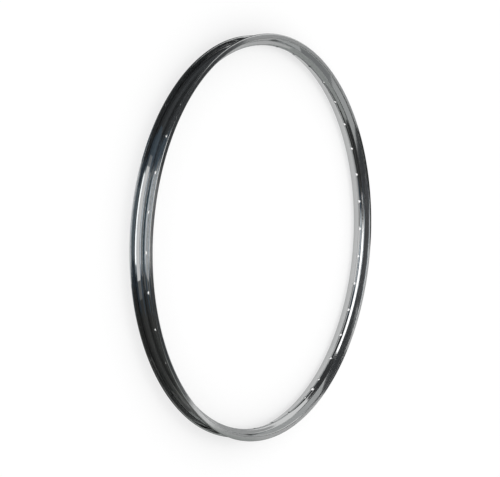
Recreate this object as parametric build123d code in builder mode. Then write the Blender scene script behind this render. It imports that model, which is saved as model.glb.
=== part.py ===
from build123d import *
import os
from math import cos, radians, sin, tan

# Chrome-plated steel bicycle rim for a 26-inch tyre.
# One strip of steel is rolled to a drop-centre channel, bent to a hoop and welded.
# Both edges of the strip are folded back into the channel, so each flange is a double wall.
# The rim lies on its side: the wheel's axis is Z and the wheel's centre is the origin.

# Tyre fit, in millimetres
bead_seat_diameter = 559.0
inner_width = 25.0
flange_height = 6.5
bead_seat_taper = 10.0

# Rolled strip: each bend radius is the one on the inside of its bend
strip_thickness = 1.2
well_depth = 6.8
well_slope = 60.0
well_bend_radius = 3.0
shoulder_bend_radius = 1.8
corner_bend_radius = 0.4
fold_gap = 0.6
edge_gap = 0.3

# Punched holes
spoke_count = 36
spoke_hole_diameter = 4.4
valve_hole_diameter = 6.5

# Middle line of the strip
half_strip = strip_thickness / 2
bead_seat_radius = bead_seat_diameter / 2
well_bend = well_bend_radius + half_strip
shoulder_bend = shoulder_bend_radius + half_strip
corner_bend = corner_bend_radius + half_strip
fold_bend = fold_gap / 2 + half_strip

well_radius = bead_seat_radius - well_depth - half_strip
fold_radius = bead_seat_radius + flange_height - half_strip - fold_bend
inner_wall = inner_width / 2 + half_strip
outer_wall = inner_wall + 2 * fold_bend

# The bead seat has its full diameter at the inner wall, tapers down towards the well,
# and runs on outwards under the inner wall to the corner
slope = radians(well_slope)
taper = radians(bead_seat_taper)
corner_radius = bead_seat_radius + (outer_wall - inner_width / 2) * tan(taper) - half_strip / cos(taper)
wall_foot_radius = corner_radius + corner_bend * (1 - sin(taper)) / cos(taper)
edge_radius = bead_seat_radius + strip_thickness * tan(taper) + edge_gap + half_strip

# The slope and the bead seat take up the rise and the reach that the three bends leave
bends_rise = well_bend * (1 - cos(slope)) + shoulder_bend * (cos(taper) - cos(slope)) + corner_bend * cos(taper)
bends_reach = well_bend * sin(slope) + shoulder_bend * (sin(slope) - sin(taper)) + corner_bend * (1 - sin(taper))
rise = wall_foot_radius - well_radius - bends_rise
reach = outer_wall - bends_reach
slope_length = (rise * cos(taper) - reach * sin(taper)) / sin(slope - taper)
bead_seat_length = (reach * sin(slope) - rise * cos(slope)) / sin(slope - taper)

# Punches run from well inside the channel to well inside the hub side
punch_length = 6 * strip_thickness
hole_pitch = 360 / spoke_count


with BuildPart() as rim:
    # Half of the section, from the bottom of the well out to the folded edge
    with BuildSketch(Plane.XZ) as section:
        with BuildLine() as strip_middle:
            well = JernArc((well_radius, 0), (0, 1), well_bend, -well_slope)
            well_side = PolarLine(well @ 1, slope_length, direction=well % 1)
            shoulder = JernArc(well_side @ 1, well_side % 1, shoulder_bend, well_slope - bead_seat_taper)
            bead_seat = PolarLine(shoulder @ 1, bead_seat_length, direction=shoulder % 1)
            corner = JernArc(bead_seat @ 1, bead_seat % 1, corner_bend, bead_seat_taper - 90)
            outer_side = Line(corner @ 1, (fold_radius, outer_wall))
            fold = JernArc(outer_side @ 1, outer_side % 1, fold_bend, -180)
            inner_side = Line(fold @ 1, (edge_radius, inner_wall))
            mirror(about=Plane.XZ)
            offset(amount=half_strip, side=Side.BOTH)
        make_face()
    revolve(axis=Axis.Z)

    # Spoke holes at one pitch, half a pitch to each side of the valve hole
    with PolarLocations(well_radius, spoke_count, start_angle=hole_pitch / 2):
        Cylinder(spoke_hole_diameter / 2, punch_length, rotation=(0, 90, 0), mode=Mode.SUBTRACT)

    # Valve hole on the X axis
    with Locations((well_radius, 0, 0)):
        Cylinder(valve_hole_diameter / 2, punch_length, rotation=(0, 90, 0), mode=Mode.SUBTRACT)


os.makedirs("parts", exist_ok=True)
rim.part.label = "rim"
export_step(rim.part, "parts/rim.step")
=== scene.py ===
import math
import bpy
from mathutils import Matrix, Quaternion, Vector


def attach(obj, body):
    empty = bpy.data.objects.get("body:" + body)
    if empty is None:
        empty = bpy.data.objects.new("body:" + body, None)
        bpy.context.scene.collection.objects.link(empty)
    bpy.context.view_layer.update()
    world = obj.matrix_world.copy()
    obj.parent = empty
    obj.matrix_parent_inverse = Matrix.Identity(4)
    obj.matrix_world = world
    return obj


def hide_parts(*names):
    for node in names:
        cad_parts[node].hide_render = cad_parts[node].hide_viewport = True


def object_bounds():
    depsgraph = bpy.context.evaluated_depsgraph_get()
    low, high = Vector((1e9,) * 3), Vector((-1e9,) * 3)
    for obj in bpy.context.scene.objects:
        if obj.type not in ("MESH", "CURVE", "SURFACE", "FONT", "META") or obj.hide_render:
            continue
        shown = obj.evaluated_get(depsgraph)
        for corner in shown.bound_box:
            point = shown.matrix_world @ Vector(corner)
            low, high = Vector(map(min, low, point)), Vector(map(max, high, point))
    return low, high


# A chrome-plated steel bicycle rim, lying on white paper in a studio.
# It is one swept strip of steel with punched holes, and one node tree makes all of it.

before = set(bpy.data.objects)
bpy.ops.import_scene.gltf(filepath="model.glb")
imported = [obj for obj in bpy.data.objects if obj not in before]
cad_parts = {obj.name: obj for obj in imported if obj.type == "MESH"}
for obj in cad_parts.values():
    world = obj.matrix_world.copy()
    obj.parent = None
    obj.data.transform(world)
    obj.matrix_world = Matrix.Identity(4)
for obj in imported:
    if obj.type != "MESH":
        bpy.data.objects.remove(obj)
cad_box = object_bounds()
scene = bpy.context.scene
MM = 0.001

# Sizes in millimetres, the same as in the part's source, with the two slopes turned to radians
bead_seat_diameter = 559.0
bead_seat_radius = bead_seat_diameter / 2
inner_width = 25.0
flange_height = 6.5
bead_seat_taper = math.radians(10)
strip_thickness = 1.2
well_depth = 6.8
well_slope = math.radians(60)
well_bend_radius = 3.0
shoulder_bend_radius = 1.8
corner_bend_radius = 0.4
fold_gap = 0.6
edge_gap = 0.3
spoke_count = 36
spoke_hole_diameter = 4.4
valve_hole_diameter = 6.5

# Fineness of the mesh: steps in each bend, and an extra line this close to each bend's ends,
# so that the flats between bends keep straight reflections
hoop_segments = 360
well_steps, shoulder_steps, corner_steps, fold_steps, end_steps = 10, 8, 10, 16, 8
guard_line = 0.12
hole_sides = 40

# The photograph's camera, fitted to the spoke holes and the outlines, in millimetres and degrees
camera_place = (-489.3, -830.5, 617.7)
camera_aim = (-29.4, -54.1, 0.0)
camera_roll = 93.7
camera_lens = 57.16


def add(tree, kind, inputs=None, **settings):
    """Adds a node, sets its properties, and gives its sockets values or links."""
    node = tree.nodes.new(kind)
    for name, value in settings.items():
        setattr(node, name, value)
    for name, value in (inputs or {}).items():
        for one in value if isinstance(value, list) else [value]:
            if isinstance(one, bpy.types.NodeSocket):
                tree.links.new(one, node.inputs[name])
            else:
                node.inputs[name].default_value = one
    return node


def linear(hex_colour):
    """An sRGB hex value as linear red, green, blue and alpha."""
    parts = [int(hex_colour[k : k + 2], 16) / 255 for k in (1, 3, 5)]
    return [p / 12.92 if p <= 0.04045 else ((p + 0.055) / 1.055) ** 2.4 for p in parts] + [1.0]


def bright_chrome_plate():
    """Chrome plate on polished steel strip: a clear, almost neutral mirror. Its reflections waver
    a little where the strip was rolled, and fine polishing lines run round the hoop."""
    # Lengths and depths in millimetres
    rolling_wave, wave_depth = 45.0, 0.10
    roll_line, line_depth = 2.4, 0.006
    polishing_line = 0.9  # the real lines are about a tenth of this, too fine to show
    handling_haze = 30.0

    # Roughness of the clearest and the dullest places, spread over the usual range of a noise
    clear, dull = 0.04, 0.11
    noise_low, noise_high = 0.3, 0.7

    material = bpy.data.materials.new("bright_chrome_plate")
    material.use_nodes = True
    tree = material.node_tree
    shader = tree.nodes["Principled BSDF"]
    shader.inputs["Base Color"].default_value = linear("#C6C7C7")
    shader.inputs["Metallic"].default_value = 1.0

    # Distance from the wheel's axis and height, which are the same all along a line round the hoop
    place = add(tree, "ShaderNodeTexCoord").outputs["Object"]
    split = add(tree, "ShaderNodeSeparateXYZ", {"Vector": place})
    flat = add(tree, "ShaderNodeCombineXYZ", {"X": split.outputs["X"], "Y": split.outputs["Y"]})
    radius = add(tree, "ShaderNodeVectorMath", {0: flat.outputs["Vector"]}, operation="LENGTH")
    around = add(
        tree,
        "ShaderNodeCombineXYZ",
        {"X": radius.outputs["Value"], "Y": split.outputs["Z"]},
    ).outputs["Vector"]

    wave = add(
        tree,
        "ShaderNodeTexNoise",
        {"Vector": place, "Scale": 1 / (rolling_wave * MM), "Detail": 0.0},
    )
    line = add(
        tree,
        "ShaderNodeTexNoise",
        {"Vector": around, "Scale": 1 / (roll_line * MM), "Detail": 1.0},
    )
    polish = add(
        tree,
        "ShaderNodeTexNoise",
        {"Vector": around, "Scale": 1 / (polishing_line * MM), "Detail": 2.0},
    )
    haze = add(
        tree,
        "ShaderNodeTexNoise",
        {"Vector": place, "Scale": 1 / (handling_haze * MM), "Detail": 3.0},
    )

    waved = add(
        tree,
        "ShaderNodeBump",
        {"Height": wave.outputs["Fac"], "Strength": 1.0, "Distance": wave_depth * MM},
    )
    lined = add(
        tree,
        "ShaderNodeBump",
        {
            "Height": line.outputs["Fac"],
            "Strength": 1.0,
            "Distance": line_depth * MM,
            "Normal": waved.outputs["Normal"],
        },
    )
    dulled = add(
        tree,
        "ShaderNodeMix",
        {"Factor": haze.outputs["Fac"], "A": polish.outputs["Fac"], "B": haze.outputs["Fac"]},
    )
    rough = add(
        tree,
        "ShaderNodeMapRange",
        {
            "Value": dulled.outputs["Result"],
            "From Min": noise_low,
            "From Max": noise_high,
            "To Min": clear,
            "To Max": dull,
        },
    )
    tree.links.new(lined.outputs["Normal"], shader.inputs["Normal"])
    tree.links.new(rough.outputs["Result"], shader.inputs["Roughness"])
    return material


def strip_middle():
    """The strip's middle line from the bottom of the well to the end of the folded edge:
    radius, height and heading of each point."""
    half = strip_thickness / 2
    well = well_bend_radius + half
    shoulder = shoulder_bend_radius + half
    corner = corner_bend_radius + half
    fold = fold_gap / 2 + half
    slope_rise, slope_reach = math.sin(well_slope), math.cos(well_slope)
    seat_rise, seat_reach = math.sin(bead_seat_taper), math.cos(bead_seat_taper)
    well_radius = bead_seat_radius - well_depth - half
    outer_wall = inner_width / 2 + half + 2 * fold
    fold_base = bead_seat_radius + flange_height - half - fold
    wall_foot = bead_seat_radius + (half + 2 * fold) * seat_rise / seat_reach
    wall_foot += (corner * (1 - seat_rise) - half) / seat_reach
    edge = bead_seat_radius + strip_thickness * seat_rise / seat_reach + edge_gap + half

    # The slope and the bead seat take up the rise and the reach that the three bends leave
    rise = wall_foot - well_radius
    rise -= well * (1 - slope_reach) + shoulder * (seat_reach - slope_reach) + corner * seat_reach
    reach = outer_wall
    reach -= well * slope_rise + shoulder * (slope_rise - seat_rise) + corner * (1 - seat_rise)
    apart = math.sin(well_slope - bead_seat_taper)

    # Bends as radius, turn and steps, and straights as their lengths
    runs = [
        (well, -well_slope, well_steps),
        (rise * seat_reach - reach * seat_rise) / apart,
        (shoulder, well_slope - bead_seat_taper, shoulder_steps),
        (reach * slope_rise - rise * slope_reach) / apart,
        (corner, bead_seat_taper - math.pi / 2, corner_steps),
        fold_base - wall_foot,
        (fold, -math.pi, fold_steps),
        fold_base - edge,
    ]
    r, z, heading = well_radius, 0.0, math.pi / 2
    points = [(r, z, heading)]
    for run in runs:
        if isinstance(run, tuple):
            bend, turn, steps = run
            side = math.copysign(bend, turn)
            centre_r, centre_z = r - side * math.sin(heading), z + side * math.cos(heading)
            for k in range(1, steps + 1):
                h = heading + turn * k / steps
                points.append((centre_r + side * math.sin(h), centre_z - side * math.cos(h), h))
        else:
            for along in (guard_line, run - guard_line, run):
                points.append((r + along * math.cos(heading), z + along * math.sin(heading), heading))
        r, z, heading = points[-1]
    return points


def section_outline():
    """The strip's closed outline as radius and height, with rounded ends."""
    half = strip_thickness / 2
    middle = strip_middle()
    hub_side = [(r - half * math.sin(h), z + half * math.cos(h)) for r, z, h in middle]
    tyre_side = [(r + half * math.sin(h), z - half * math.cos(h)) for r, z, h in middle]
    r, z, h = middle[-1]
    turns = [h + math.pi / 2 - math.pi * k / end_steps for k in range(1, end_steps)]
    end = [(r + half * math.cos(t), z + half * math.sin(t)) for t in turns]
    upper = tyre_side + end[::-1] + hub_side[::-1]
    lower = [(r, -z) for r, z in upper[-2:0:-1]]
    return upper + lower


def rim_tree():
    """Sweeps a section round the hoop and punches the spoke holes and the valve hole."""
    tree = bpy.data.node_groups.new("rolled_and_punched_hoop", "GeometryNodeTree")
    sockets = [
        ("Section", "NodeSocketGeometry"),
        ("Hoop Radius", "NodeSocketFloat"),
        ("Hoop Segments", "NodeSocketInt"),
        ("Spoke Count", "NodeSocketInt"),
        ("Spoke Hole Radius", "NodeSocketFloat"),
        ("Valve Hole Radius", "NodeSocketFloat"),
        ("Punch Length", "NodeSocketFloat"),
        ("Finish", "NodeSocketMaterial"),
    ]
    for name, kind in sockets:
        tree.interface.new_socket(name, in_out="INPUT", socket_type=kind)
    tree.interface.new_socket("Rim", in_out="OUTPUT", socket_type="NodeSocketGeometry")
    given = add(tree, "NodeGroupInput").outputs

    # The hoop
    section = add(tree, "GeometryNodeMeshToCurve", {"Mesh": given["Section"]})
    circle = add(
        tree,
        "GeometryNodeCurvePrimitiveCircle",
        {"Resolution": given["Hoop Segments"], "Radius": given["Hoop Radius"]},
    )
    path = add(tree, "GeometryNodeSetCurveNormal", {"Curve": circle.outputs["Curve"]}, mode="Z_UP")
    hoop = add(
        tree,
        "GeometryNodeCurveToMesh",
        {"Curve": path.outputs["Curve"], "Profile Curve": section.outputs["Curve"]},
    )

    # Spoke punches on a circle, turned half a pitch so that the valve hole falls between two
    ring = add(
        tree,
        "GeometryNodeMeshCircle",
        {"Vertices": given["Spoke Count"], "Radius": given["Hoop Radius"]},
    )
    half_pitch = add(tree, "ShaderNodeMath", {0: math.pi, 1: given["Spoke Count"]}, operation="DIVIDE")
    turn = add(tree, "ShaderNodeCombineXYZ", {"Z": half_pitch.outputs["Value"]})
    ring = add(
        tree,
        "GeometryNodeTransform",
        {"Geometry": ring.outputs["Mesh"], "Rotation": turn.outputs["Vector"]},
    )
    spoke_punch = add(
        tree,
        "GeometryNodeMeshCylinder",
        {"Vertices": hole_sides, "Radius": given["Spoke Hole Radius"], "Depth": given["Punch Length"]},
    )
    place = add(tree, "GeometryNodeInputPosition")
    outwards = add(
        tree,
        "FunctionNodeAlignRotationToVector",
        {"Vector": place.outputs["Position"]},
        axis="Z",
    )
    spoke_punches = add(
        tree,
        "GeometryNodeInstanceOnPoints",
        {
            "Points": ring.outputs["Geometry"],
            "Instance": spoke_punch.outputs["Mesh"],
            "Rotation": outwards.outputs["Rotation"],
        },
    )
    spoke_punches = add(
        tree,
        "GeometryNodeRealizeInstances",
        {"Geometry": spoke_punches.outputs["Instances"]},
    )

    # One valve punch on the X axis
    valve_punch = add(
        tree,
        "GeometryNodeMeshCylinder",
        {"Vertices": hole_sides, "Radius": given["Valve Hole Radius"], "Depth": given["Punch Length"]},
    )
    on_x = add(tree, "ShaderNodeCombineXYZ", {"X": given["Hoop Radius"]})
    valve_punch = add(
        tree,
        "GeometryNodeTransform",
        {
            "Geometry": valve_punch.outputs["Mesh"],
            "Translation": on_x.outputs["Vector"],
            "Rotation": (0, math.pi / 2, 0),
        },
    )

    # Only the edges of the holes are sharp
    punched = add(
        tree,
        "GeometryNodeMeshBoolean",
        {
            "Mesh 1": hoop.outputs["Mesh"],
            "Mesh 2": [spoke_punches.outputs["Geometry"], valve_punch.outputs["Geometry"]],
        },
        operation="DIFFERENCE",
        solver="MANIFOLD",
    )
    smooth = add(tree, "GeometryNodeSetShadeSmooth", {"Geometry": punched.outputs["Mesh"]})
    edged = add(
        tree,
        "GeometryNodeSetShadeSmooth",
        {
            "Geometry": smooth.outputs["Geometry"],
            "Selection": punched.outputs["Intersecting Edges"],
            "Shade Smooth": False,
        },
        domain="EDGE",
    )
    real = add(tree, "GeometryNodeRealizeInstances", {"Geometry": edged.outputs["Geometry"]})
    plated = add(
        tree,
        "GeometryNodeSetMaterial",
        {"Geometry": real.outputs["Geometry"], "Material": given["Finish"]},
    )
    add(tree, "NodeGroupOutput", {"Rim": plated.outputs["Geometry"]})
    return tree


def make_rim(finish):
    """The rim as a plain mesh, in the part's own frame."""
    well_radius = bead_seat_radius - well_depth - strip_thickness / 2
    punch_length = 6 * strip_thickness  # well past both faces of the strip
    outline = section_outline()
    section = bpy.data.meshes.new("rim_section")
    corners = [((r - well_radius) * MM, z * MM, 0) for r, z in outline]
    section.from_pydata(corners, [(k, (k + 1) % len(corners)) for k in range(len(corners))], [])
    rim = bpy.data.objects.new("chromed_rim", section)
    scene.collection.objects.link(rim)

    hoop = rim.modifiers.new("hoop", "NODES")
    hoop.node_group = rim_tree()
    values = {
        "Hoop Radius": well_radius * MM,
        "Hoop Segments": hoop_segments,
        "Spoke Count": spoke_count,
        "Spoke Hole Radius": spoke_hole_diameter / 2 * MM,
        "Valve Hole Radius": valve_hole_diameter / 2 * MM,
        "Punch Length": punch_length * MM,
        "Finish": finish,
    }
    for socket in hoop.node_group.interface.items_tree:
        if socket.name in values:
            hoop[socket.identifier] = values[socket.name]
    mesh = bpy.data.meshes.new_from_object(rim.evaluated_get(bpy.context.evaluated_depsgraph_get()))
    rim.modifiers.remove(hoop)
    rim.data = mesh
    bpy.data.meshes.remove(section)
    return rim


rim = make_rim(bright_chrome_plate())
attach(rim, "root")
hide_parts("rim")


def seen(tree):
    """1 for what the camera sees, also in metal and through glass, and 0 for what only gives light."""
    rays = add(tree, "ShaderNodeLightPath").outputs
    camera_or_metal = add(
        tree,
        "ShaderNodeMath",
        {0: rays["Is Camera Ray"], 1: rays["Is Glossy Ray"]},
        operation="MAXIMUM",
    )
    or_glass = add(
        tree,
        "ShaderNodeMath",
        {0: camera_or_metal.outputs["Value"], 1: rays["Is Transmission Ray"]},
        operation="MAXIMUM",
    )
    return or_glass.outputs["Value"]


def matt_paper(name, colour):
    """Matt paper or card: one plain tone, with no shine."""
    matt, no_shine = 0.9, 0.0
    material = bpy.data.materials.new(name)
    material.use_nodes = True
    shader = material.node_tree.nodes["Principled BSDF"]
    shader.inputs["Base Color"].default_value = linear(colour)
    shader.inputs["Roughness"].default_value = matt
    shader.inputs["Specular IOR Level"].default_value = no_shine
    return material


def floor_paper():
    """Matt white paper: plain white to the eye and in the chrome, with the rim's soft shadow on it."""
    paper_glow = 0.56  # brings the lit paper up to white, and the shadow with it but not to white
    material = matt_paper("matt_white_paper", "#B6B6B6")
    tree = material.node_tree
    shader = tree.nodes["Principled BSDF"]
    shader.inputs["Emission Color"].default_value = linear("#FFFFFF")
    glow = add(tree, "ShaderNodeMath", {0: seen(tree), 1: paper_glow}, operation="MULTIPLY")
    tree.links.new(glow.outputs["Value"], shader.inputs["Emission Strength"])
    return material


# One square sheet of paper right under the rim, in metres
floor_half = 8.0
floor_height = cad_box[0][2]
floor_corners = [
    (x * floor_half, y * floor_half, floor_height)
    for x, y in ((-1, -1), (1, -1), (1, 1), (-1, 1))
]
floor_mesh = bpy.data.meshes.new("floor")
floor_mesh.from_pydata(floor_corners, [], [(0, 1, 2, 3)])
floor_mesh.materials.append(floor_paper())
floor = bpy.data.objects.new("floor", floor_mesh)
scene.collection.objects.link(floor)

# The studio is a white room with two soft lights, and with grey, blue-grey and white cards round
# the rim, which give the chrome its bands. Angles, in degrees, and distances, in metres, are taken
# from the wheel's centre: across is 0 on the camera's side and grows anticlockwise, and up is the
# height above the floor. Far is the ring of cards, before and beyond lie just to each side of it,
# and outside, inside and middle are edges of the cards on the floor.
far = 6.0
card_gap = 0.1
before, beyond = far - card_gap, far + card_gap
outside, inside, middle = 0.2865, 0.266, 0.09
cards = [
    # name, colour, across from and to, up from and to, distance from and to
    # to the sides
    ("left_card", "#56585A", (-125, -50), (0, 66), (far, far)),
    ("left_edge_card", "#647280", (-50, -31), (0, 66), (far, far)),
    ("right_edge_card", "#56636F", (22, 42), (0, 66), (far, far)),
    ("right_card", "#545554", (42, 92), (0, 82), (far, far)),
    ("right_grey_card", "#868785", (92, 112), (0, 82), (far, far)),
    # behind the rim
    ("back_left_card", "#D2D6D4", (112, 160), (0, 58), (far, far)),
    ("back_left_top_card", "#4A4B4C", (112, 160), (58, 82), (far, far)),
    ("back_card", "#FFFFFF", (160, 187), (0, 35), (far, far)),
    ("back_grey_card", "#E2E3E3", (187, 202), (0, 35), (far, far)),
    ("back_left_strip", "#6A6C6E", (165.5, 170), (23, 33), (before, before)),
    ("back_strip", "#3A3C3E", (180, 191), (22, 37), (before, before)),
    ("back_top_card", "#5C5E60", (166, 202), (35, 44), (far, far)),
    # behind the rim, round a gap that lightens the near side face
    ("back_gap_left_card", "#5C5E60", (166, 173.8), (44, 66), (far, far)),
    ("back_gap_right_card", "#5C5E60", (187, 202), (44, 66), (far, far)),
    ("back_gap_top_card", "#5C5E60", (173.8, 187), (49, 66), (far, far)),
    # behind the rim, beside the gap and above it
    ("back_corner_card", "#5C5E60", (160, 166), (38, 66), (far, far)),
    ("back_right_top_card", "#525354", (202, 235), (46, 62), (far, far)),
    ("ceiling_card", "#6A6C6E", (160, 235), (64, 82), (beyond, beyond)),
    # behind the camera, where the window light is
    ("window_left_card", "#B8C4CE", (-31, -12), (0, 56), (far, far)),
    ("window_card", "#D2DEE8", (-12, 22), (0, 56), (far, far)),
    ("window_top_card", "#9CACB6", (-31, 22), (56, 78), (far, far)),
    # on the floor outside the rim
    ("left_floor_card", "#525456", (-125, -28), (0, 0), (outside, far)),
    ("left_floor_edge_card", "#606C76", (-28, -19.5), (0, 0), (outside, far)),
    ("left_floor_light_card", "#A2A6A9", (-19.5, -16.5), (0, 0), (outside, far)),
    ("right_floor_light_card", "#8A8C8C", (13, 18), (0, 0), (outside, far)),
    ("right_floor_card", "#525352", (18, 52), (0, 0), (outside, far)),
    ("right_floor_grey_card", "#686968", (52, 118), (0, 0), (outside, far)),
    ("near_floor_card", "#546A76", (-16.5, 13), (0, 0), (0.317, 0.6)),
    # on the floor inside the rim
    ("inner_floor_card", "#46484A", (143, 194), (0, 0), (middle, 0.205)),
    ("inner_arc_card", "#808284", (143, 166), (0, 0), (0.245, 0.268)),
    ("inner_far_arc_card", "#808284", (186, 194), (0, 0), (0.245, 0.268)),
    ("inner_left_card", "#C0C2C2", (194, 227), (0, 0), (middle, inside)),
    ("inner_grey_card", "#949697", (227, 253), (0, 0), (middle, inside)),
    ("inner_ring_card", "#C8CACA", (253, 503), (0, 0), (middle, inside)),
    ("middle_floor_card", "#58595B", (0, 360), (0, 0), (0.0, middle)),
]
soft_lights = [
    # name, across, up, distance, width and height in metres, power in watts
    ("window", -5.5, 21, 3.0, 2.3, 0.21, 4.5),
    ("overhead", -159, 71.2, 2.165, 1.0, 0.7, 4.0),
]

# Steps along and up each card, and how far it clears the paper in metres
card_steps = 24
card_lift = 0.0005


def towards(across, up):
    """The direction from the wheel's centre to a place in the studio."""
    heading = math.atan2(camera_place[1], camera_place[0]) + math.radians(across)
    up = math.radians(up)
    return Vector((math.cos(up) * math.cos(heading), math.cos(up) * math.sin(heading), math.sin(up)))


def between(ends, share):
    """The value that lies this share of the way from one end to the other."""
    return ends[0] + (ends[1] - ends[0]) * share


def studio_card(name, colour, across, up, distance):
    """A curved card that only the chrome shows: the camera and the floor's shadows pass it by."""
    steps = [k / card_steps for k in range(card_steps + 1)]
    foot = Vector((0, 0, floor_height + card_lift))
    corners = [
        foot + towards(between(across, i), between(up, j)) * between(distance, j)
        for j in steps
        for i in steps
    ]
    row = card_steps + 1
    faces = [
        (k, k + 1, k + row + 1, k + row)
        for j in range(card_steps)
        for k in range(j * row, j * row + card_steps)
    ]
    mesh = bpy.data.meshes.new(name)
    mesh.from_pydata(corners, [], faces)
    mesh.materials.append(matt_paper(name, colour))
    card = bpy.data.objects.new(name, mesh)
    card.visible_camera = card.visible_diffuse = card.visible_shadow = False
    scene.collection.objects.link(card)


def soft_light(name, across, up, distance, width, height, power):
    """A rectangular soft light that faces the rim."""
    lamp = bpy.data.lights.new(name, "AREA")
    lamp.shape = "RECTANGLE"
    lamp.size, lamp.size_y = width, height
    lamp.energy = power
    light = bpy.data.objects.new(name, lamp)
    place = towards(across, up)
    light.location = place * distance
    light.rotation_euler = (-place).to_track_quat("-Z", "Y").to_euler()
    scene.collection.objects.link(light)


for card in cards:
    studio_card(*card)
for light in soft_lights:
    soft_light(*light)

# The room is white where it is seen, and lights the paper and the cards a little less
room_light = 0.9
world = bpy.data.worlds.new("white_room")
world.use_nodes = True
room = world.node_tree
background = room.nodes["Background"]
background.inputs["Color"].default_value = linear("#FFFFFF")
strength = add(room, "ShaderNodeMath", {0: seen(room), 1: room_light}, operation="MAXIMUM")
room.links.new(strength.outputs["Value"], background.inputs["Strength"])
scene.world = world

lens = bpy.data.cameras.new("camera")
lens.lens = camera_lens
camera = bpy.data.objects.new("camera", lens)
camera.location = Vector(camera_place) * MM
sight = (Vector(camera_aim) - Vector(camera_place)).to_track_quat("-Z", "Y")
camera.rotation_euler = (sight @ Quaternion((0, 0, 1), math.radians(camera_roll))).to_euler()
scene.collection.objects.link(camera)
scene.camera = camera
scene.view_settings.view_transform = "Standard"
